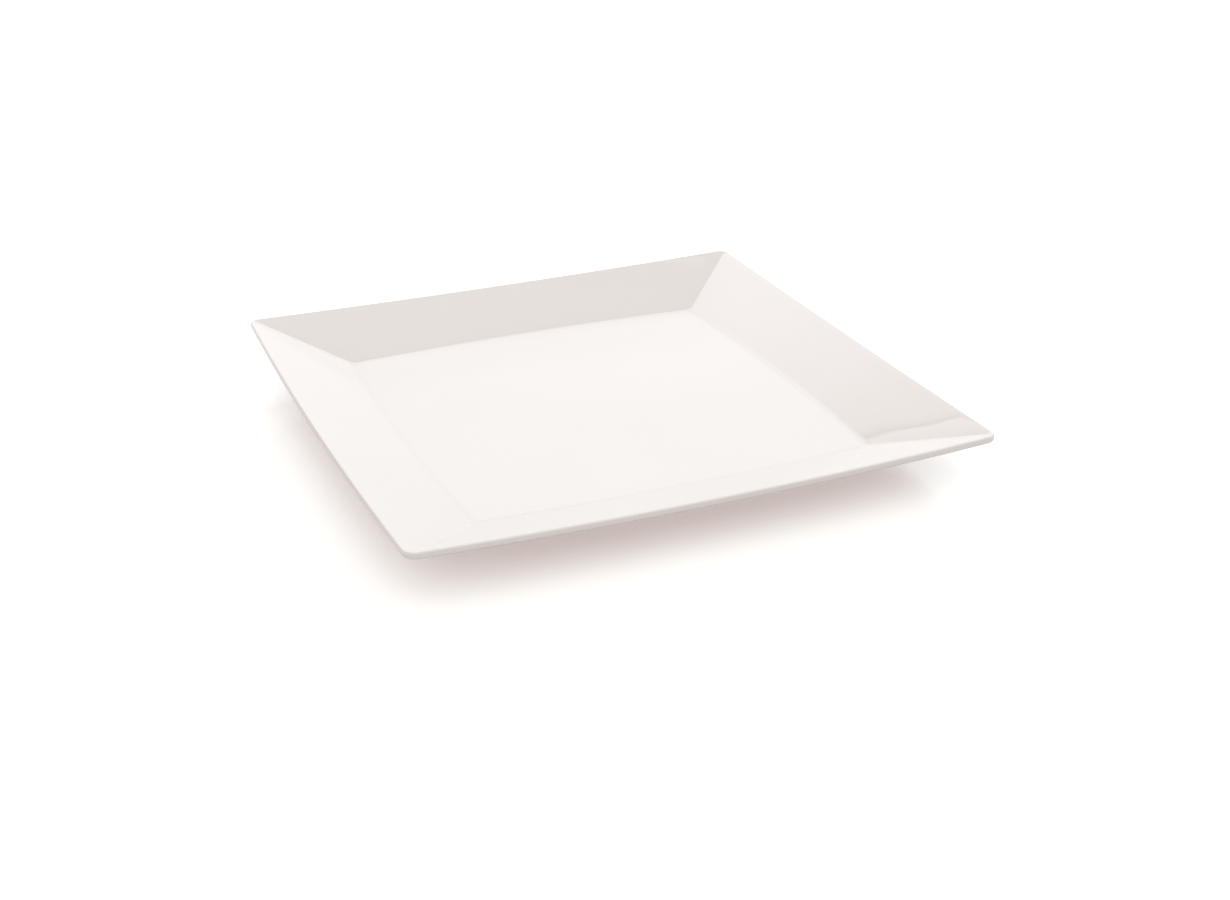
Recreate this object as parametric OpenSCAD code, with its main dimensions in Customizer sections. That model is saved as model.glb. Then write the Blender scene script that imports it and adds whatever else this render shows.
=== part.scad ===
// Square dinner plate: a fired porcelain body under a fused glaze.
// The cross-section at the middle of a side is worked out once. It is swept round a square whose
// sides bow outwards and whose rim rises towards the corners. The glaze is the layer between the
// finished surface and the body. The foot's standing edge is ground flat and wiped free of glaze.

/* [Plate] */
// Width over the middles of two opposite sides
plate_w = 260; // [220:1:320]
// Height of the rim at the corners
plate_h = 22.2; // [20.2:0.2:30]
// How far the middle of a side stands out from the line between its corners
side_bow = 1.7; // [0.5:0.1:4]
// How much higher the rim is at the corners than at the middles of the sides
corner_lift = 1.9; // [0:0.1:3]
// Radius of the rim's outer corners, seen from above
corner_r = 5; // [4:0.5:20]

/* [Rim and well] */
// Width of the sloping rim, from the crease round the well to the outer edge
rim_w = 37.8; // [30:0.2:50]
// Thickness of the rim at the crease, square to its slope
rim_t = 4.6; // [4:0.1:5.4]
// Thickness of the rim's rounded edge
lip_t = 3; // [2.4:0.1:4]
// Radius of the mitres between the rim's sides and of the crease's corners, seen from above
mitre_r = 1.8; // [1:0.2:10]
// How far the middle of the well's crease stands out from the line between its corners
well_bow = 3.2; // [0.5:0.1:5]
// Radius of the hollow that joins the well's floor to the rim
well_fillet = 14; // [6:0.5:30]
// Thickness of the well's floor
floor_t = 4.8; // [4:0.1:6]

/* [Foot] */
// Depth of the recess inside the foot ring
recess_h = 3; // [2.4:0.1:5]
// How far the foot's outer wall stands outside the crease
foot_set = 6.2; // [2:0.2:10]
// Width of the foot ring
foot_t = 5.4; // [4:0.2:9]
// Radius of the foot's corners, seen from above
foot_corner_r = 6; // [4:0.5:20]
// Radius of the foot's two bottom edges
foot_edge_r = 0.8; // [0.5:0.1:0.9]
// How much of the foot's bottom is ground away
ground_h = 0.2; // [0.1:0.1:0.4]
// Radius of the hollow between the foot's outer wall and the rim
foot_fillet = 2.6; // [1:0.1:4]
// Radius of the hollow between the foot's inner wall and the recess
recess_fillet = 1.2; // [0.6:0.1:3]

/* [Glaze] */
// Thickness of the glaze
glaze_t = 0.3; // [0.2:0.05:0.4]
// Height up to which the foot is wiped free of glaze
bare_h = 1; // [1:0.1:1.4]

/* [Smoothness] */
// Steps along each bowed side
side_steps = 10; // [6:1:14]
// Steps round each corner
corner_steps = 6; // [4:2:8]
// Steps along each rounded part of the section
arc_steps = 4; // [3:1:5]

/* [Hidden] */

half_w = plate_w / 2;
crease = [half_w - rim_w, recess_h + floor_t];
lip_r = lip_t / 2;
lip_c = [half_w - lip_r, plate_h - corner_lift - lip_r];

// The rim's upper line runs from the crease and touches the top of the rounded edge.
rim_angle = angle_of(lip_c - crease) + asin(lip_r / norm(lip_c - crease));
well_c = crease + well_fillet * [-tan(rim_angle / 2), 1];

// Its lower line starts a wall's thickness under the crease and touches the edge from below.
under = crease + rim_t * [sin(rim_angle), -cos(rim_angle)];
under_angle = angle_of(lip_c - under) - asin(lip_r / norm(lip_c - under));

// The rounded edge starts where the upper line touches it.
lip_start = lip_c[0] - lip_r * sin(rim_angle);

// Walls of the foot without and with glaze. Each hollow leaves a straight wall above the bare edge.
bare_out = crease[0] + foot_set;
bare_in = bare_out - foot_t;
glazed_out = bare_out + glaze_t;
glazed_in = bare_in - glaze_t;
wall_end = bare_h + 0.5;
foot_hollow = min(foot_fillet, (under_z(glazed_out) - wall_end - 0.2) / tan(45 - under_angle / 2));
foot_c = [glazed_out + foot_hollow, under_z(glazed_out + foot_hollow) - foot_hollow / cos(under_angle)];
recess_hollow = min(recess_fillet, recess_h - wall_end);
recess_c = [glazed_in - recess_hollow, recess_h - recess_hollow];

function angle_of(v) = atan2(v[1], v[0]);

function mix(low, high, share) = low + (high - low) * share;

function reversed(points) = [for (i = [len(points) - 1:-1:0]) points[i]];

// Points on an arc. The first one is left out where the arc carries on from another.
function arc(centre, r, from, to, steps = arc_steps, first = 0) =
    [for (i = [first:steps]) let (t = mix(from, to, i / steps)) centre + r * [cos(t), sin(t)]];

// Height of the rim's lower line at a distance from the middle of the plate.
function under_z(a) = under[1] + (a - under[0]) * tan(under_angle);

// Share of the way from one distance to another, between 0 and 1.
function way(a, from, to) = min(1, max(0, (a - from) / (to - from)));

// How far up the rim a distance is: 0 at the crease, 1 at the rounded edge.
function up_rim(a) = way(a, crease[0], lip_c[0]);

// A point of the section is a distance, a height, a share of the corners' lift and a corner radius.
function upper(points) =
    [for (p = points) [p[0], p[1], up_rim(p[0]), mix(mitre_r, corner_r, way(p[0], lip_start, half_w))]];

function lower(points) =
    [for (p = points) [p[0], p[1], up_rim(p[0]), mix(foot_corner_r, corner_r, up_rim(p[0]))]];

function level(points) = [for (p = points) [p[0], p[1], 0, foot_corner_r]];

// Well, rim and outside of the foot at a depth under the finished surface, from the well outwards.
function face_section(depth) = concat(
    upper(arc(well_c, well_fillet + depth, -90, rim_angle - 90)),
    upper(arc(lip_c, lip_r - depth, 90 + rim_angle, 90, 2)),
    upper(arc(lip_c, lip_r - depth, 90, 0, first = 1)),
    lower(arc(lip_c, lip_r - depth, 0, under_angle - 90, first = 1)),
    lower(arc(foot_c, foot_hollow + depth, 90 + under_angle, 180)),
    level([[glazed_out - depth, wall_end]])
);

// Recess and inside of the foot at a depth under the finished surface, from the recess outwards.
function recess_section(depth) = level(arc(recess_c, recess_hollow + depth, 90, 0));

// Bottom of the foot before grinding, from its inner wall to its outer wall.
function foot_section() = level(concat(
    arc([bare_in + foot_edge_r, foot_edge_r - ground_h], foot_edge_r, 180, 270),
    arc([bare_out - foot_edge_r, foot_edge_r - ground_h], foot_edge_r, 270, 360)
));

// Outline of the plate through a point of the section: four bowed sides that run into round corners.
function outline(point) =
    let (
        a = point[0],
        r = point[3],
        bow = mix(well_bow, side_bow, up_rim(a)),
        side_r = (pow(a - bow, 2) + bow * bow) / (2 * bow),
        side_c = a - side_r,
        corner_c = (side_c + sqrt(2 * pow(side_r - r, 2) - side_c * side_c)) / 2,
        turn = atan2(corner_c, corner_c - side_c),
        reach = corner_c + r * cos(45),
        quarter = concat(
            arc([side_c, 0], side_r, -turn, turn, side_steps, 1),
            arc([corner_c, corner_c], r, turn, 90 - turn, corner_steps, 1)
        )
    )
    [for (q = [0:3], p = quarter)
        let (lift = corner_lift * point[2] * pow(p[0] * p[1] / (reach * reach), 2))
        [
            p[0] * cos(90 * q) - p[1] * sin(90 * q),
            p[0] * sin(90 * q) + p[1] * cos(90 * q),
            point[1] + lift
        ]];

// Solid between the outlines of an under side and an upper side. Both run from the middle outwards
// and end in flat faces at the middle. Their four-sided facets are split along the same diagonals,
// so that two solids fit each other where they share a section.
module swept(under_side, upper_side) {
    rings = [for (point = concat(under_side, reversed(upper_side))) outline(point)];
    n = len(rings[0]);
    last = len(rings) - 1;
    facets = [for (j = [0:last - 1], i = [0:n - 1])
        [j * n + i, (j + 1) * n + i, (j + 1) * n + (i + 1) % n, j * n + (i + 1) % n]];
    turned = len(under_side) * n;
    polyhedron(
        points = [for (ring = rings) each ring],
        faces = concat(
            [[for (i = [0:n - 1]) i]],
            [for (f = facets) f[0] < turned ? [f[0], f[1], f[2]] : [f[0], f[1], f[3]]],
            [for (f = facets) f[0] < turned ? [f[0], f[2], f[3]] : [f[1], f[2], f[3]]],
            [[for (i = [n - 1:-1:0]) last * n + i]]
        ),
        convexity = 10
    );
}

// Everything under the plate up to a height, for grinding or wiping the foot.
module below(height) {
    translate([-half_w, -half_w, height - plate_h])
        cube([plate_w, plate_w, plate_h]);
}

// Fired body, from the recess round the foot, up the rim and in to the well.
module porcelain_body() {
    color("linen")
        difference() {
            swept(concat(recess_section(glaze_t), foot_section()), face_section(glaze_t));
            below(0);
        }
}

// Glaze over the well, the rim and the outside of the foot.
module face_glaze() {
    color("white")
        difference() {
            swept(
                concat(face_section(glaze_t), level([[bare_out, 0]])),
                concat(face_section(0), level([[glazed_out, 0]]))
            );
            below(bare_h);
        }
}

// Glaze in the recess, cut off from the rest by the bare edge of the foot.
module recess_glaze() {
    color("white")
        difference() {
            swept(
                concat(recess_section(0), level([[glazed_in, 0]])),
                concat(recess_section(glaze_t), level([[bare_in, 0]]))
            );
            below(bare_h);
        }
}

porcelain_body();
face_glaze();
recess_glaze();
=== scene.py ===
import math
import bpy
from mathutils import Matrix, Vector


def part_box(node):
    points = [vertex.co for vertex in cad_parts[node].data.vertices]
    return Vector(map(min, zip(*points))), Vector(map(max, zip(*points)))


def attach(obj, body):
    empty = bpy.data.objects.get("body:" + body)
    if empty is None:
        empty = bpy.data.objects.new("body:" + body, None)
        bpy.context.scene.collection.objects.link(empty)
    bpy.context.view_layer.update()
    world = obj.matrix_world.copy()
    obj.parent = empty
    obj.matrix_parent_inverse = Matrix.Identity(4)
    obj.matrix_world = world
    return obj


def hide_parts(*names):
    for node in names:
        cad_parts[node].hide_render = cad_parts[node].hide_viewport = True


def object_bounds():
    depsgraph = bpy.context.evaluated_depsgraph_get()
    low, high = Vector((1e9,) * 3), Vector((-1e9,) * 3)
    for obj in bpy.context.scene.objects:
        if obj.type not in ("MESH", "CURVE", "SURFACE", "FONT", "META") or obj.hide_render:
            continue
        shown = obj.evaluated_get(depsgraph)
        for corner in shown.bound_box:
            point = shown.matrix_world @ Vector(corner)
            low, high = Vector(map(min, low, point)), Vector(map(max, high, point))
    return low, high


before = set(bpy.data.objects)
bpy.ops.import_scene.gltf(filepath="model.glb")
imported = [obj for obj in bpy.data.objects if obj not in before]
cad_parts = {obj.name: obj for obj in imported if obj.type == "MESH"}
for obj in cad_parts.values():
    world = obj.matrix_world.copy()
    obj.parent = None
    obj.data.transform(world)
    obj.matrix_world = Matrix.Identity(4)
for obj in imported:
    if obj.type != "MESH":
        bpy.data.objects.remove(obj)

from types import SimpleNamespace

import bmesh
import bpy
from bpy.props import FloatProperty, FloatVectorProperty, IntProperty, PointerProperty
from mathutils import Matrix, Vector

bl_info = {
    "name": "Square dinner plate",
    "version": (1, 0, 0),
    "blender": (4, 5, 0),
    "location": "3D View > Sidebar > Plate",
    "description": "Models a square dinner plate in glazed porcelain and sets it on a white table",
    "category": "Object",
}

MM = 0.001
HALF_TURN = math.pi
RIGHT_ANGLE = HALF_TURN / 2
PHOTO_WIDTH = 1230

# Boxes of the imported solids, from which the sizes that they show are taken.
CAD_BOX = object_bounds()
BODY_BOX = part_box("porcelain_body")
FACE_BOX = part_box("face_glaze")
RECESS_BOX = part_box("recess_glaze")
GLAZE = CAD_BOX[1].x - BODY_BOX[1].x

# Straight steps that stand for each curve.
SIDE_STEPS = 24
CORNER_STEPS = 8
FILLET_STEPS = 8
LIP_STEPS = 8
HOLLOW_STEPS = 8
EDGE_STEPS = 5

# By which the steps of a curve are divided under the glaze, where nothing shows.
UNDER_GLAZE = 2

# Panels wider than this are cut across, and faces that meet at less than this angle are shaded as one.
WIDE_PANEL = 5 * MM
PANEL_CUTS = 3
SMOOTH_ANGLE = math.radians(35)

# How close to a line a vertex of an outline has to be to lie on it.
NEAR = 0.05 * MM

# By which the inner edge of the standing ring is higher, because quite level outlines can be bridged
# turned over.
LEVEL_STEP = 0.01 * MM

# Widths and depths of what the glaze and the bare clay show. Real grit is several times as fine, and
# is drawn this coarse so that it shows.
POOL_WIDTH = 60 * MM
SWELL_WIDTH, SWELL_DEPTH = 28 * MM, 0.02 * MM
PEEL_WIDTH, PEEL_DEPTH = 4 * MM, 0.002 * MM
RUB_WIDTH = 9 * MM
GRIT_WIDTH, GRIT_DEPTH = 0.5 * MM, 0.05 * MM

# Share of the pooled colour in the pools, and of the same colour as painted shade in the crease, and the
# heights over the well's floor at which the painted shade in the crease is full, fades and ends.
POOL_SHARE, CREASE_SHADE_SHARE = 0.28, 0.25
CREASE_FULL, CREASE_FADE, CREASE_END = 0.03 * MM, 0.25 * MM, 0.7 * MM

TABLE_WIDTH = 12.0

# Of each lamp the name, the turn to the right from straight behind and the rise in degrees, the width
# and height, and the setting that holds its power.
LAMPS = (
    ("lamp_right", 34, 15.2, (0.06, 0.13), "right_power"),
    ("lamp_left", 20, 9, (0.06, 0.06), "left_power"),
)
LAMP_DISTANCE = 1.2

# Two boards that only the glaze mirrors, each with its glows at heights over its foot. A glow of 1 is
# white, and the brightest that a board's ramp can hold is given first.
BRIGHTEST = 3.0
WALL_TURN = math.radians(20)
WALL_DISTANCE = 1.3
WALL_SIZE = (2.4, 2.3)
WALL_GLOWS = (
    (0, 1.0), (0.17, 1.0), (0.26, 1.12), (0.5, 1.52), (0.585, 1.6), (0.7, 1.85), (0.86, 2.25),
    (0.95, 1.85), (1.0, 1.42), (1.06, 1.1), (1.2, 1.0), (1.5, 1.0), (1.75, 1.3), (2.3, 1.3),
)
BAR_MIDDLE = Vector((0.20399, 0.382904, 0.376524))
BAR_ALONG = Vector((0.8926, -0.398, 0.2136))
BAR_LEAN = Vector((-0.3006, -0.74, 0.6049))
BAR_SIZE = (0.2, 0.018)
BAR_GLOWS = (
    (0, 1.33), (0.004, 1.2), (0.007, 0.6), (0.0078, 0.0),
    (0.008, 0.0), (0.0082, 1.75), (0.012, 1.6), (0.018, 1.3),
)

NEAREST_SEEN, FARTHEST_SEEN = 0.01, 50.0


def linear(hex_colour):
    """Linear red, green, blue and alpha of an sRGB hex colour."""
    parts = [int(hex_colour[i:i + 2], 16) / 255 for i in (1, 3, 5)]
    return [c / 12.92 if c <= 0.04045 else ((c + 0.055) / 1.055) ** 2.4 for c in parts] + [1.0]


def length(name, description, default):
    """A size in metres that a user may change."""
    return FloatProperty(
        name=name, description=description, default=default, min=0.0, precision=5, unit="LENGTH"
    )


def colour(name, description, hex_colour):
    """A colour that a user may change."""
    return FloatVectorProperty(
        name=name, description=description, default=linear(hex_colour), size=4,
        min=0.0, max=1.0, subtype="COLOR"
    )


class PlateSizes(bpy.types.PropertyGroup):
    """Sizes of the plate."""

    width: length("Width", "Over the middles of two opposite sides", CAD_BOX[1].x - CAD_BOX[0].x)
    height: length("Height", "Of the rim at the corners", CAD_BOX[1].z)
    side_bow: length("Side bow", "Of a side's middle out of the line between its corners", 1.7 * MM)
    corner_lift: length("Corner lift", "Of the rim's corners over the middles of its sides", 1.9 * MM)
    corner_radius: length("Corner radius", "Of the rim's outer corners", 5 * MM)
    rim_width: length("Rim width", "From the crease round the well to the outer edge", 37.8 * MM)
    rim_thickness: length("Rim thickness", "At the crease", 4.6 * MM)
    lip_thickness: length("Lip thickness", "Of the rim's upright edge", 3 * MM)
    lip_upper: length("Lip upper edge", "Radius between the rim and its upright edge", 0.7 * MM)
    lip_lower: length("Lip lower edge", "Radius between the upright edge and the underside", 0.9 * MM)
    corner_blend: length("Corner blend", "Along the rim, in which a mitre widens to the corner", 2 * MM)
    mitre_radius: length("Mitre radius", "Of the mitres between the rim's sides", 1.8 * MM)
    well_bow: length("Well bow", "Of the crease's middle out of the line between its corners", 3.2 * MM)
    well_radius: length("Well radius", "Of the hollow between the well's floor and the rim", 14 * MM)
    floor_thickness: length("Floor thickness", "Of the well's floor", 4.8 * MM)
    recess: length("Recess", "Depth inside the foot ring", RECESS_BOX[1].z - GLAZE)
    foot_inner: length("Foot", "From the middle to the bare inner wall of the foot", RECESS_BOX[1].x)
    foot_width: length("Foot width", "Of the bare foot ring", 5.4 * MM)
    foot_corner: length("Foot corner", "Radius of the foot's corners", 6 * MM)
    foot_edge: length("Foot edge", "Radius of the foot's bottom edges", 0.8 * MM)
    ground: length("Ground", "Height that was ground off the foot", 0.2 * MM)
    foot_hollow: length("Foot hollow", "Radius between the foot and the rim", 2.6 * MM)
    recess_hollow: length("Recess hollow", "Radius between the foot and the recess", 1.2 * MM)
    glaze: length("Glaze", "Thickness of the glaze", GLAZE)
    bare: length("Bare edge", "Height up to which the foot was wiped free of glaze", FACE_BOX[0].z)


class PlateColours(bpy.types.PropertyGroup):
    """Colours of the plate."""

    glaze: colour("Glaze", "Where the glaze lies evenly", "#F4F0ED")
    # Besides the pools, this colour paints shade in the crease round the well.
    glaze_pooled_and_shade: colour("Pooled glaze", "Where the glaze lies thicker", "#E4E1E0")
    bisque: colour("Bisque", "Of the bare foot", "#E6DED2")
    bisque_worn: colour("Worn bisque", "Where the bare foot has rubbed", "#DBD3C7")


class StageSettings(bpy.types.PropertyGroup):
    """Table, lamps and camera."""

    table: colour("Table", "Of the table top, as it lights the plate", "#C9C9CA")
    table_seen: colour("Table seen", "Of the table top, as the camera sees it before the lift", "#A7B0B0")
    table_lift: FloatProperty(
        name="Table lift", description="How much whiter the table shows to the camera",
        default=2.75, min=1.0,
    )
    table_mirrored: FloatProperty(
        name="Table mirrored", description="How much whiter the table is in the glaze",
        default=1.38, min=1.0,
    )
    table_glow: colour(
        "Table glow", "Added to what the table shows, so that its shadow stays soft", "#8C7471"
    )
    lamp: colour("Lamp", "Of the lamps behind the plate", "#EFFAFF")
    room: colour("Room", "Of the light from all round", "#FFFBF9")
    room_strength: FloatProperty(
        name="Room strength", description="Of the light from all round", default=0.81, min=0.0
    )
    room_front: FloatProperty(
        name="Room front", description="By which the room is lighter on the camera's side",
        default=0.14, min=0.0,
    )
    right_power: FloatProperty(
        name="Right lamp", description="Power of the lamp behind and to the right",
        default=6.5, min=0.0, unit="POWER",
    )
    left_power: FloatProperty(
        name="Left lamp", description="Power of the lower lamp nearer the middle",
        default=2.5, min=0.0, unit="POWER",
    )
    camera_turn: FloatProperty(
        name="Turn", description="Of the camera round the plate",
        default=math.radians(-23.08), subtype="ANGLE",
    )
    camera_rise: FloatProperty(
        name="Rise", description="Of the camera over the table",
        default=math.radians(25.54), subtype="ANGLE",
    )
    camera_roll: FloatProperty(
        name="Roll", description="Of the camera about its line of sight",
        default=math.radians(-0.25), subtype="ANGLE",
    )
    camera_distance: length("Distance", "From the camera to the well's floor", 803.79 * MM)
    camera_aside: FloatProperty(
        name="Aside", description="Of the camera to its left", default=-8.853 * MM, unit="LENGTH"
    )
    camera_down: FloatProperty(
        name="Down", description="Of the camera below its line to the plate",
        default=21.535 * MM, unit="LENGTH",
    )
    focal_pixels: IntProperty(
        name="Focal length", description="In pixels of a picture 1230 wide", default=1772, subtype="PIXEL"
    )


def well_floor(sizes):
    """Height of the well's floor over the table."""
    return sizes.recess + sizes.floor_thickness


def plate_section(sizes):
    """Lines of the plate's section at the middle of a side, and the middles of the circles between them."""
    section = SimpleNamespace()
    section.half = sizes.width / 2
    section.crease = Vector((section.half - sizes.rim_width, well_floor(sizes)))
    section.rim_end = section.half - sizes.lip_thickness / 2
    top = sizes.height - sizes.corner_lift
    bottom = top - sizes.lip_thickness
    section.lip_upper = Vector((section.half - sizes.lip_upper, top - sizes.lip_upper))
    section.lip_lower = Vector((section.half - sizes.lip_lower, bottom + sizes.lip_lower))

    to_lip = section.lip_upper - section.crease
    slope = math.atan2(to_lip.y, to_lip.x) + math.asin(sizes.lip_upper / to_lip.length)
    section.rim_angle = slope
    section.blend = sizes.corner_blend * Vector((math.cos(slope), math.sin(slope)))
    section.blend_start = section.lip_upper.x - sizes.lip_upper * math.sin(slope) - section.blend.x
    section.well = section.crease + sizes.well_radius * Vector((-math.tan(slope / 2), 1))

    under = section.crease + sizes.rim_thickness * Vector((math.sin(slope), -math.cos(slope)))
    to_lip = section.lip_lower - under
    slope = math.atan2(to_lip.y, to_lip.x) - math.asin(sizes.lip_lower / to_lip.length)
    section.under_angle = slope

    section.bare_in = sizes.foot_inner
    section.bare_out = sizes.foot_inner + sizes.foot_width
    hollow = section.bare_out + sizes.glaze + sizes.foot_hollow
    under_z = under.y + (hollow - under.x) * math.tan(slope)
    section.foot = Vector((hollow, under_z - sizes.foot_hollow / math.cos(slope)))
    hollow = section.bare_in - sizes.glaze - sizes.recess_hollow
    section.recess = Vector((hollow, sizes.recess - sizes.recess_hollow))
    return section


def arc(middle, radius, start, end, steps):
    """Points on an arc, angles in radians."""
    turns = [start + (end - start) * i / steps for i in range(steps + 1)]
    return [middle + radius * Vector((math.cos(t), math.sin(t))) for t in turns]


def face_line(section, sizes, depth, coarse=1):
    """Well, rim and outside of the foot at a depth under the finished surface, from the well outwards."""
    rim, under = section.rim_angle, section.under_angle
    top = arc(
        section.well, sizes.well_radius + depth, -RIGHT_ANGLE, rim - RIGHT_ANGLE, FILLET_STEPS // coarse
    )
    lip = arc(section.lip_upper, sizes.lip_upper - depth, RIGHT_ANGLE + rim, 0, LIP_STEPS // coarse)
    top += [lip[0] - section.blend] + lip
    below = arc(section.lip_lower, sizes.lip_lower - depth, 0, under - RIGHT_ANGLE, LIP_STEPS // coarse)
    below += arc(
        section.foot, sizes.foot_hollow + depth, RIGHT_ANGLE + under, HALF_TURN, HOLLOW_STEPS // coarse
    )
    return [("upper", p) for p in top] + [("lower", p) for p in below]


def recess_line(section, sizes, depth, coarse=1):
    """Recess and inside of the foot at a depth under the finished surface, from the recess outwards."""
    line = arc(section.recess, sizes.recess_hollow + depth, RIGHT_ANGLE, 0, HOLLOW_STEPS // coarse)
    return [("foot", p) for p in line]


def share(value, low, high):
    """How far a value has come from a low one to a high one, from 0 to 1."""
    return min(1.0, max(0.0, (value - low) / (high - low)))


def mix(low, high, part):
    """The value that lies a part of the way from a low one to a high one."""
    return low + (high - low) * part


def pick(test, kind):
    """Select the visible vertices or edges of the edited mesh that pass a test, and nothing else."""
    bpy.ops.mesh.select_all(action="DESELECT")
    mesh = bmesh.from_edit_mesh(bpy.context.edit_object.data)
    found = [item for item in getattr(mesh, kind) if not item.hide and test(item)]
    if not found:
        raise RuntimeError(f"none of the {kind} is in the place that the plate's outline needs")
    for item in found:
        item.select_set(True)
    mesh.select_flush_mode()
    bmesh.update_edit_mesh(bpy.context.edit_object.data)


def add_outline(section, sizes, zone, point):
    """Add one outline of the plate: a square with rounded corners, bowed sides and lifted corners."""
    reach, height = point
    up_rim = share(reach, section.crease.x, section.rim_end)
    bow = mix(sizes.well_bow, sizes.side_bow, up_rim)
    half = reach - bow
    lift = 0.0 if zone == "foot" else sizes.corner_lift * up_rim
    if zone == "upper":
        widened = share(reach, section.blend_start, section.half)
        radius = mix(sizes.mitre_radius, sizes.corner_radius, widened)
    else:
        radius = mix(sizes.foot_corner, sizes.corner_radius, 0.0 if zone == "foot" else up_rim)
    # Two bowed sides meet at more than a right angle, so the round starts nearer to the corner.
    cut = radius * math.tan(RIGHT_ANGLE / 2 - math.atan(2 * bow / half))
    middle = (0, 0, height)

    bpy.ops.mesh.primitive_plane_add(size=2 * half, location=middle)
    bpy.ops.mesh.bevel(offset=cut, affect="VERTICES", segments=CORNER_STEPS)
    bpy.ops.mesh.delete(type="ONLY_FACE")
    pick(lambda edge: edge.calc_length() > half, "edges")
    bpy.ops.mesh.subdivide(number_cuts=SIDE_STEPS - 1)

    bowing = {
        "center_override": middle, "use_proportional_edit": True,
        "proportional_edit_falloff": "INVERSE_SQUARE", "proportional_size": half,
    }
    pick(lambda vertex: abs(vertex.co.y) < NEAR, "verts")
    bpy.ops.transform.resize(value=(reach / half, 1, 1), **bowing)
    pick(lambda vertex: abs(vertex.co.x) < NEAR, "verts")
    bpy.ops.transform.resize(value=(1, reach / half, 1), **bowing)
    # The lift fades from the middle of each round to nothing at the middles of the sides.
    if lift:
        pick(lambda vertex: abs(abs(vertex.co.x) - abs(vertex.co.y)) < NEAR, "verts")
        bpy.ops.transform.translate(
            value=(0, 0, lift), use_proportional_edit=True, proportional_edit_falloff="SHARP",
            proportional_size=half - cut * (1 - math.sqrt(0.5)),
        )


def close_open_edges(operator, **settings):
    """Select the edges that still want a face, and fill or bridge them."""
    bpy.ops.mesh.select_mode(type="EDGE")
    pick(lambda edge: len(edge.link_faces) < 2, "edges")
    operator(**settings)
    bpy.ops.mesh.select_mode(type="VERT")


def model_piece(name, section, sizes, outlines, finish):
    """Model a closed piece from its outlines, each bridged to the one before it, and close both ends."""
    bpy.ops.object.select_all(action="DESELECT")
    bpy.ops.mesh.primitive_plane_add(size=sizes.width)
    piece = bpy.context.active_object
    piece.name = piece.data.name = name
    bpy.ops.object.mode_set(mode="EDIT")
    bpy.ops.mesh.delete(type="VERT")
    bpy.ops.mesh.select_mode(type="VERT")
    before = None
    for zone, point in outlines:
        if before is not None:
            bpy.ops.mesh.select_all(action="SELECT")
            bpy.ops.mesh.hide()
        add_outline(section, sizes, zone, point)
        bpy.ops.mesh.reveal(select=False)
        if before is None:
            close_open_edges(bpy.ops.mesh.edge_face_add)
        else:
            cuts = PANEL_CUTS if (point - before).length > WIDE_PANEL else 0
            close_open_edges(bpy.ops.mesh.bridge_edge_loops, number_cuts=cuts, interpolation="LINEAR")
        before = point
    close_open_edges(bpy.ops.mesh.edge_face_add)
    bpy.ops.mesh.select_all(action="SELECT")
    bpy.ops.mesh.normals_make_consistent(inside=False)
    bpy.ops.object.mode_set(mode="OBJECT")

    longest, corners = sizes.width / 4, piece.data.vertices
    if any((corners[a].co - corners[b].co).length > longest for a, b in piece.data.edge_keys):
        raise RuntimeError(f"an outline of {name} was bridged to the wrong side of the one before it")

    bpy.ops.object.shade_smooth_by_angle(angle=SMOOTH_ANGLE)
    weights = piece.modifiers.new("even normals", "WEIGHTED_NORMAL")
    weights.keep_sharp = True
    bpy.ops.object.modifier_apply(modifier=weights.name)
    piece.data.materials.clear()
    piece.data.materials.append(finish)
    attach(piece, "root")
    return piece


def add_node(tree, kind, settings=None, values=None, links=None):
    """Add a shader node with its settings, the values of its sockets and the links into them."""
    node = tree.nodes.new(kind)
    for name, value in (settings or {}).items():
        setattr(node, name, value)
    for socket, value in (values or {}).items():
        node.inputs[socket].default_value = value
    for socket, source in (links or {}).items():
        tree.links.new(source, node.inputs[socket])
    return node


def new_tree(owner):
    """Node tree of a material or world, emptied."""
    owner.use_nodes = True
    owner.node_tree.nodes.clear()
    return owner.node_tree


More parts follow.
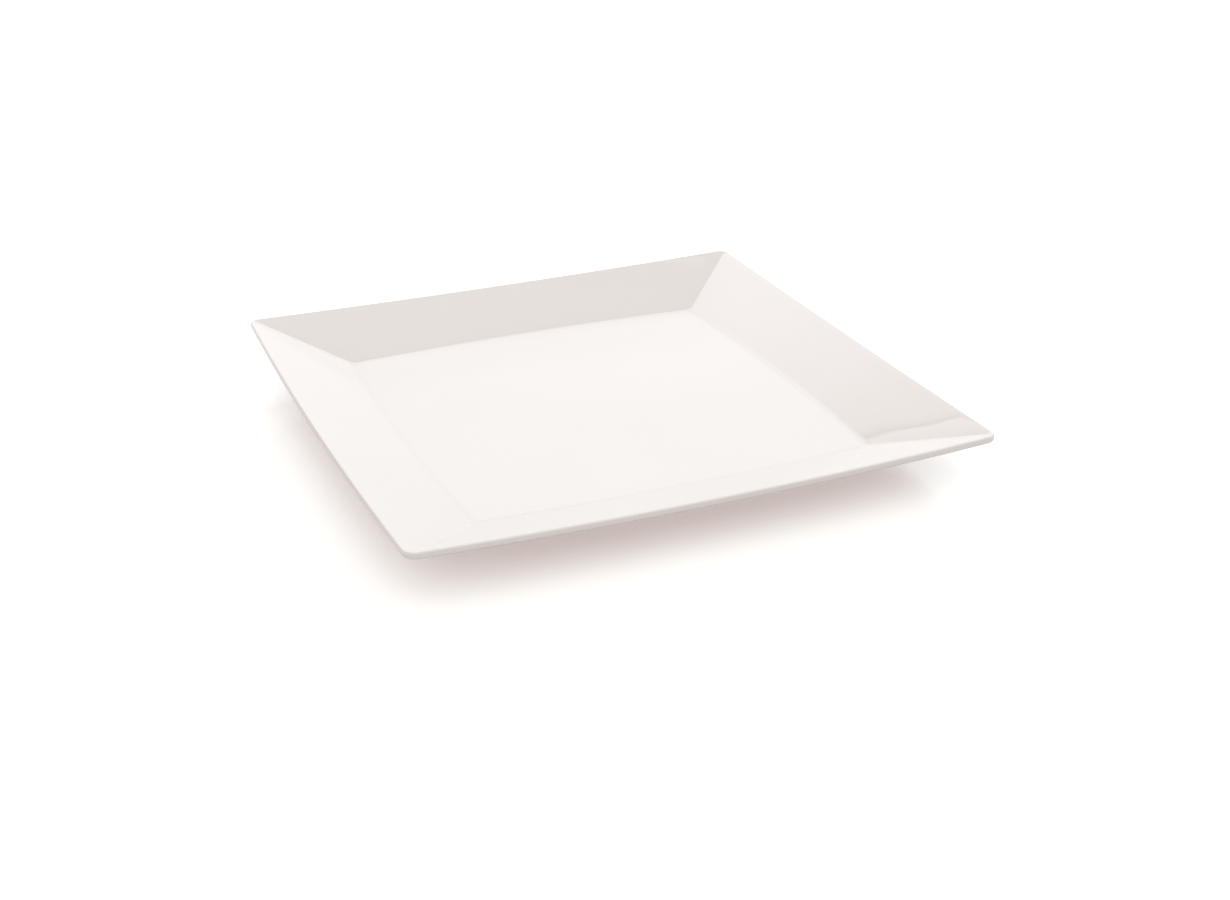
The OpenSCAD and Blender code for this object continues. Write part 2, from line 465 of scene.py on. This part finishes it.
def glazed_porcelain(sizes, colours):
    """Porcelain, glazed and fired glossy."""
    made = bpy.data.materials.get("glazed porcelain, glossy fired")
    if made:
        return made
    # The glaze runs level in the kiln, so it mirrors the room in a smooth warm white. It lies a little
    # thicker in places, which dulls the white there, and it keeps a faint swell and orange peel from the
    # spray. The crease round the well is painted darker with the same dull colour, as painted shade.
    made = bpy.data.materials.new("glazed porcelain, glossy fired")
    tree = new_tree(made)
    coordinates = add_node(tree, "ShaderNodeTexCoord")
    place = coordinates.outputs["Object"]
    pools = add_node(
        tree, "ShaderNodeTexNoise", values={"Scale": 1 / POOL_WIDTH, "Detail": 2.0, "Roughness": 0.5},
        links={"Vector": place},
    )
    swell = add_node(
        tree, "ShaderNodeTexNoise", values={"Scale": 1 / SWELL_WIDTH, "Detail": 1.0}, links={"Vector": place}
    )
    peel = add_node(
        tree, "ShaderNodeTexNoise", values={"Scale": 1 / PEEL_WIDTH, "Detail": 1.0}, links={"Vector": place}
    )

    # Painted shade in the crease is told by its height over the well's floor, on faces that look up.
    floor = well_floor(sizes)
    height = add_node(tree, "ShaderNodeSeparateXYZ", links={"Vector": place}).outputs["Z"]
    above_floor = add_node(
        tree, "ShaderNodeMapRange", values={"From Min": floor, "From Max": floor + CREASE_FULL},
        links={"Value": height},
    )
    crease = add_node(
        tree, "ShaderNodeMapRange",
        values={
            "From Min": floor + CREASE_FADE, "From Max": floor + CREASE_END,
            "To Min": CREASE_SHADE_SHARE, "To Max": 0.0,
        },
        links={"Value": height},
    )
    crease = add_node(
        tree, "ShaderNodeMath", {"operation": "MULTIPLY"},
        links={0: crease.outputs["Result"], 1: above_floor.outputs["Result"]},
    )
    upward = add_node(tree, "ShaderNodeSeparateXYZ", links={"Vector": coordinates.outputs["Normal"]})
    crease = add_node(
        tree, "ShaderNodeMath", {"operation": "MULTIPLY", "use_clamp": True},
        links={0: crease.outputs["Value"], 1: upward.outputs["Z"]},
    )
    # Pools of thicker glaze, plus painted shade in the crease round the well.
    thickness = add_node(
        tree, "ShaderNodeMath", {"operation": "MULTIPLY_ADD"}, {1: POOL_SHARE},
        {0: pools.outputs["Fac"], 2: crease.outputs["Value"]},
    )
    even = add_node(
        tree, "ShaderNodeMix", {"data_type": "RGBA"},
        {"A": colours.glaze, "B": colours.glaze_pooled_and_shade}, {"Factor": thickness.outputs["Value"]},
    )
    polish = add_node(
        tree, "ShaderNodeMapRange",
        values={"From Min": 0.3, "From Max": 0.7, "To Min": 0.012, "To Max": 0.025},
        links={"Value": pools.outputs["Fac"]},
    )
    swollen = add_node(
        tree, "ShaderNodeBump", values={"Strength": 1.0, "Distance": SWELL_DEPTH},
        links={"Height": swell.outputs["Fac"]},
    )
    peeled = add_node(
        tree, "ShaderNodeBump", values={"Strength": 1.0, "Distance": PEEL_DEPTH},
        links={"Height": peel.outputs["Fac"], "Normal": swollen.outputs["Normal"]},
    )
    shader = add_node(
        tree, "ShaderNodeBsdfPrincipled", values={"IOR": 1.52},
        links={
            "Base Color": even.outputs["Result"], "Roughness": polish.outputs["Result"],
            "Normal": peeled.outputs["Normal"],
        },
    )
    add_node(tree, "ShaderNodeOutputMaterial", links={"Surface": shader.outputs["BSDF"]})
    return made


def bare_bisque(colours):
    """Porcelain body, bare and ground."""
    made = bpy.data.materials.get("bisque porcelain, bare and ground")
    if made:
        return made
    # Fired clay without glaze is dull and a little darker, with fine grit, and grey where it has rubbed.
    made = bpy.data.materials.new("bisque porcelain, bare and ground")
    tree = new_tree(made)
    place = add_node(tree, "ShaderNodeTexCoord").outputs["Object"]
    rubbed = add_node(
        tree, "ShaderNodeTexNoise", values={"Scale": 1 / RUB_WIDTH, "Detail": 4.0, "Roughness": 0.65},
        links={"Vector": place},
    )
    grit = add_node(
        tree, "ShaderNodeTexNoise", values={"Scale": 1 / GRIT_WIDTH, "Detail": 2.0}, links={"Vector": place}
    )
    worn = add_node(
        tree, "ShaderNodeMapRange", values={"From Min": 0.45, "From Max": 0.75},
        links={"Value": rubbed.outputs["Fac"]},
    )
    tone = add_node(
        tree, "ShaderNodeMix", {"data_type": "RGBA"},
        {"A": colours.bisque, "B": colours.bisque_worn}, {"Factor": worn.outputs["Result"]},
    )
    rough = add_node(
        tree, "ShaderNodeMapRange", values={"To Min": 0.85, "To Max": 0.65},
        links={"Value": worn.outputs["Result"]},
    )
    gritty = add_node(
        tree, "ShaderNodeBump", values={"Strength": 0.6, "Distance": GRIT_DEPTH},
        links={"Height": grit.outputs["Fac"]},
    )
    shader = add_node(
        tree, "ShaderNodeBsdfPrincipled", values={"IOR": 1.5},
        links={
            "Base Color": tone.outputs["Result"], "Roughness": rough.outputs["Result"],
            "Normal": gritty.outputs["Normal"],
        },
    )
    add_node(tree, "ShaderNodeOutputMaterial", links={"Surface": shader.outputs["BSDF"]})
    return made


def add_room(scene, stage):
    """White seen directly and in the glaze, and a warm room's light on everything else."""
    scene.world = bpy.data.worlds.new("white room")
    tree = new_tree(scene.world)
    path = add_node(tree, "ShaderNodeLightPath")
    seen = add_node(
        tree, "ShaderNodeMath", {"operation": "MAXIMUM"},
        links={0: path.outputs["Is Camera Ray"], 1: path.outputs["Is Glossy Ray"]},
    )
    seen = add_node(
        tree, "ShaderNodeMath", {"operation": "MAXIMUM"},
        links={0: seen.outputs["Value"], 1: path.outputs["Is Transmission Ray"]},
    )
    front = Vector((math.sin(stage.camera_turn), -math.cos(stage.camera_turn), 0))
    facing = add_node(
        tree, "ShaderNodeVectorMath", {"operation": "DOT_PRODUCT"}, {1: front},
        {0: add_node(tree, "ShaderNodeTexCoord").outputs["Generated"]},
    )
    facing = add_node(
        tree, "ShaderNodeMath", {"operation": "MAXIMUM"}, {1: 0.0}, {0: facing.outputs["Value"]}
    )
    level = add_node(
        tree, "ShaderNodeMath", {"operation": "MULTIPLY_ADD"},
        {1: stage.room_front, 2: stage.room_strength}, {0: facing.outputs["Value"]},
    )
    light = add_node(
        tree, "ShaderNodeBackground", values={"Color": stage.room},
        links={"Strength": level.outputs["Value"]},
    )
    white = add_node(tree, "ShaderNodeBackground", values={"Color": (1, 1, 1, 1), "Strength": 1.0})
    shown = add_node(
        tree, "ShaderNodeMixShader",
        links={0: seen.outputs["Value"], 1: light.outputs["Background"], 2: white.outputs["Background"]},
    )
    add_node(tree, "ShaderNodeOutputWorld", links={"Surface": shown.outputs["Shader"]})


def add_table(stage):
    """A matt white table top under and round the plate, which the camera and the glaze see whiter."""
    bpy.ops.object.select_all(action="DESELECT")
    bpy.ops.mesh.primitive_plane_add(size=TABLE_WIDTH)
    table = bpy.context.active_object
    table.name = "table_top"
    laminate = bpy.data.materials.new("white laminate, matt")
    tree = new_tree(laminate)
    path = add_node(tree, "ShaderNodeLightPath")
    mirrored = add_node(
        tree, "ShaderNodeMath", {"operation": "MAXIMUM"},
        links={0: path.outputs["Is Glossy Ray"], 1: path.outputs["Is Transmission Ray"]},
    )
    seen = add_node(
        tree, "ShaderNodeMath", {"operation": "MAXIMUM"},
        links={0: path.outputs["Is Camera Ray"], 1: mirrored.outputs["Value"]},
    )
    tone = add_node(
        tree, "ShaderNodeMix", {"data_type": "RGBA"},
        {"A": stage.table, "B": [stage.table_mirrored * part for part in stage.table]},
        {"Factor": mirrored.outputs["Value"]},
    )
    tone = add_node(
        tree, "ShaderNodeMix", {"data_type": "RGBA"},
        {"B": [stage.table_lift * part for part in stage.table_seen]},
        {"A": tone.outputs["Result"], "Factor": path.outputs["Is Camera Ray"]},
    )
    matt = add_node(tree, "ShaderNodeBsdfDiffuse", links={"Color": tone.outputs["Result"]})
    glow = add_node(
        tree, "ShaderNodeEmission", values={"Color": stage.table_glow},
        links={"Strength": seen.outputs["Value"]},
    )
    shader = add_node(
        tree, "ShaderNodeAddShader", links={0: matt.outputs["BSDF"], 1: glow.outputs["Emission"]}
    )
    add_node(tree, "ShaderNodeOutputMaterial", links={"Surface": shader.outputs["Shader"]})
    laminate.cycles.emission_sampling = "NONE"
    table.data.materials.append(laminate)


def add_lamps(stage):
    """Two low lamps behind the plate, which give its shadow two edges."""
    for name, turn, rise, size, power in LAMPS:
        turn, rise = math.radians(turn), math.radians(rise)
        away = Vector((math.sin(turn) * math.cos(rise), math.cos(turn) * math.cos(rise), math.sin(rise)))
        bpy.ops.object.light_add(type="AREA", location=LAMP_DISTANCE * away)
        lamp = bpy.context.active_object
        lamp.name = name
        lamp.rotation_euler = away.to_track_quat("Z", "Y").to_euler()
        lamp.data.shape = "RECTANGLE"
        lamp.data.size, lamp.data.size_y = size
        lamp.data.energy = getattr(stage, power)
        lamp.data.color = stage.lamp[:3]
        lamp.visible_glossy = False


def add_board(name, middle, across, up, size, glows):
    """Add a flat board to the stage, which shows in the glaze alone, and its glows from its foot upwards."""
    bpy.ops.object.select_all(action="DESELECT")
    bpy.ops.mesh.primitive_plane_add(size=1.0)
    board = bpy.context.active_object
    board.name = name
    turned = Matrix((across, up, across.cross(up))).transposed().to_4x4()
    board.matrix_world = Matrix.Translation(middle) @ turned @ Matrix.Diagonal((*size, 1, 1))
    bpy.ops.object.transform_apply(location=True, rotation=True, scale=True)
    board.visible_camera = board.visible_diffuse = False
    board.visible_shadow = board.visible_transmission = False
    cloth = bpy.data.materials.new(f"{name} cloth")
    tree = new_tree(cloth)
    place = add_node(
        tree, "ShaderNodeSeparateXYZ", links={"Vector": add_node(tree, "ShaderNodeTexCoord").outputs["UV"]}
    )
    ramp = add_node(tree, "ShaderNodeValToRGB", links={"Fac": place.outputs["Y"]})
    # A new ramp comes with two steps, which the first two glows take.
    steps = ramp.color_ramp.elements
    for index, (height, glow) in enumerate(glows):
        step = steps[index] if index < 2 else steps.new(1.0)
        step.position = height / size[1]
        step.color = 3 * [glow / BRIGHTEST] + [1.0]
    shader = add_node(
        tree, "ShaderNodeEmission", values={"Strength": BRIGHTEST}, links={"Color": ramp.outputs["Color"]}
    )
    add_node(tree, "ShaderNodeOutputMaterial", links={"Surface": shader.outputs["Emission"]})
    board.data.materials.append(cloth)


def add_mirrored_boards():
    """A tall lit wall behind the plate, and nearer a soft box over a dark bar."""
    away = Vector((math.sin(WALL_TURN), math.cos(WALL_TURN), 0))
    across, up = Vector((math.cos(WALL_TURN), -math.sin(WALL_TURN), 0)), Vector((0, 0, 1))
    middle = WALL_DISTANCE * away + WALL_SIZE[1] / 2 * up
    add_board("lit_wall", middle, across, up, WALL_SIZE, WALL_GLOWS)
    along = BAR_ALONG.normalized()
    lean = (BAR_LEAN - BAR_LEAN.dot(along) * along).normalized()
    add_board("dark_bar", BAR_MIDDLE, along, lean, BAR_SIZE, BAR_GLOWS)


def add_camera(scene, stage, floor):
    """The camera where the picture was taken from."""
    turn, rise = stage.camera_turn, stage.camera_rise
    back = Vector((math.sin(turn) * math.cos(rise), -math.cos(turn) * math.cos(rise), math.sin(rise)))
    right = Vector((math.cos(turn), math.sin(turn), 0))
    roll = Matrix.Rotation(stage.camera_roll, 3, back)
    right, up = roll @ right, roll @ back.cross(right)
    aim = Vector((0, 0, floor))
    spot = aim + stage.camera_distance * back - stage.camera_aside * right - stage.camera_down * up
    bpy.ops.object.camera_add()
    camera = bpy.context.active_object
    camera.name = "camera"
    axes = Matrix((right, up, back)).transposed().to_4x4()
    camera.matrix_world = Matrix.Translation(spot) @ axes
    camera.data.sensor_fit = "HORIZONTAL"
    camera.data.lens = camera.data.sensor_width * stage.focal_pixels / PHOTO_WIDTH
    camera.data.clip_start, camera.data.clip_end = NEAREST_SEEN, FARTHEST_SEEN
    scene.camera = camera


class PLATE_OT_body(bpy.types.Operator):
    """Model the fired body, of which the bare foot shows"""

    bl_idname = "plate.body"
    bl_label = "Porcelain body"

    def execute(self, context):
        sizes = context.scene.plate_sizes
        section = plate_section(sizes)
        height = sizes.foot_edge - sizes.ground
        low = math.asin(height / sizes.foot_edge)
        outer = Vector((section.bare_out - sizes.foot_edge, height))
        inner = Vector((section.bare_in + sizes.foot_edge, height + LEVEL_STEP))
        foot = arc(outer, sizes.foot_edge, 0, -low, EDGE_STEPS)
        foot += arc(inner, sizes.foot_edge, HALF_TURN + low, HALF_TURN, EDGE_STEPS)
        outlines = face_line(section, sizes, sizes.glaze, UNDER_GLAZE)
        outlines += [("foot", Vector((section.bare_out, sizes.bare)))]
        outlines += [("foot", p) for p in foot]
        outlines += [("foot", Vector((section.bare_in, sizes.bare)))]
        outlines += reversed(recess_line(section, sizes, sizes.glaze, UNDER_GLAZE))
        finish = bare_bisque(context.scene.plate_colours)
        piece = model_piece("bare_foot_body", section, sizes, outlines, finish)
        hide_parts("porcelain_body")
        return {"FINISHED"}


class PLATE_OT_face(bpy.types.Operator):
    """Model the glaze over the well, the rim and the outside of the foot"""

    bl_idname = "plate.face"
    bl_label = "Face glaze"

    def execute(self, context):
        sizes = context.scene.plate_sizes
        section = plate_section(sizes)
        middle = Vector((section.bare_out, sizes.bare + sizes.glaze))
        bead = arc(middle, sizes.glaze, 0, -RIGHT_ANGLE, EDGE_STEPS)
        outlines = face_line(section, sizes, 0.0)
        outlines += [("foot", p) for p in bead]
        outlines += reversed(face_line(section, sizes, sizes.glaze, UNDER_GLAZE))
        finish = glazed_porcelain(sizes, context.scene.plate_colours)
        piece = model_piece("glazed_face", section, sizes, outlines, finish)
        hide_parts("face_glaze")
        return {"FINISHED"}


class PLATE_OT_recess(bpy.types.Operator):
    """Model the glaze in the recess under the well"""

    bl_idname = "plate.recess"
    bl_label = "Recess glaze"

    def execute(self, context):
        sizes = context.scene.plate_sizes
        section = plate_section(sizes)
        middle = Vector((section.bare_in, sizes.bare + sizes.glaze))
        bead = arc(middle, sizes.glaze, HALF_TURN, HALF_TURN + RIGHT_ANGLE, EDGE_STEPS)
        outlines = recess_line(section, sizes, 0.0)
        outlines += [("foot", p) for p in bead]
        outlines += reversed(recess_line(section, sizes, sizes.glaze, UNDER_GLAZE))
        finish = glazed_porcelain(sizes, context.scene.plate_colours)
        piece = model_piece("glazed_recess", section, sizes, outlines, finish)
        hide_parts("recess_glaze")
        return {"FINISHED"}


class PLATE_OT_stage(bpy.types.Operator):
    """Set the plate on a white table under soft light, in front of the camera"""

    bl_idname = "plate.stage"
    bl_label = "Stage"

    def execute(self, context):
        scene, stage = context.scene, context.scene.plate_stage
        add_room(scene, stage)
        add_table(stage)
        add_lamps(stage)
        add_mirrored_boards()
        add_camera(scene, stage, well_floor(scene.plate_sizes))
        scene.view_settings.view_transform = "Standard"
        return {"FINISHED"}


class PLATE_PT_panel(bpy.types.Panel):
    """The plate's pieces, sizes and colours"""

    bl_idname = "PLATE_PT_panel"
    bl_label = "Square dinner plate"
    bl_space_type = "VIEW_3D"
    bl_region_type = "UI"
    bl_category = "Plate"

    def draw(self, context):
        for operator in OPERATORS:
            self.layout.operator(operator.bl_idname)
        scene = context.scene
        for settings in (scene.plate_sizes, scene.plate_colours, scene.plate_stage):
            box = self.layout.box()
            for name in settings.__annotations__:
                box.prop(settings, name)


OPERATORS = (PLATE_OT_body, PLATE_OT_face, PLATE_OT_recess, PLATE_OT_stage)
CLASSES = (PlateSizes, PlateColours, StageSettings, *OPERATORS, PLATE_PT_panel)


def register():
    """Make the plate's settings, operators and panel known to Blender."""
    for made in CLASSES:
        bpy.utils.register_class(made)
    bpy.types.Scene.plate_sizes = PointerProperty(type=PlateSizes)
    bpy.types.Scene.plate_colours = PointerProperty(type=PlateColours)
    bpy.types.Scene.plate_stage = PointerProperty(type=StageSettings)


def unregister():
    """Take them away again."""
    del bpy.types.Scene.plate_stage
    del bpy.types.Scene.plate_colours
    del bpy.types.Scene.plate_sizes
    for made in reversed(CLASSES):
        bpy.utils.unregister_class(made)


def main():
    """Model the pieces and the stage."""
    register()
    bpy.ops.plate.body()
    bpy.ops.plate.face()
    bpy.ops.plate.recess()
    bpy.ops.plate.stage()


if __name__ == "__main__":
    main()
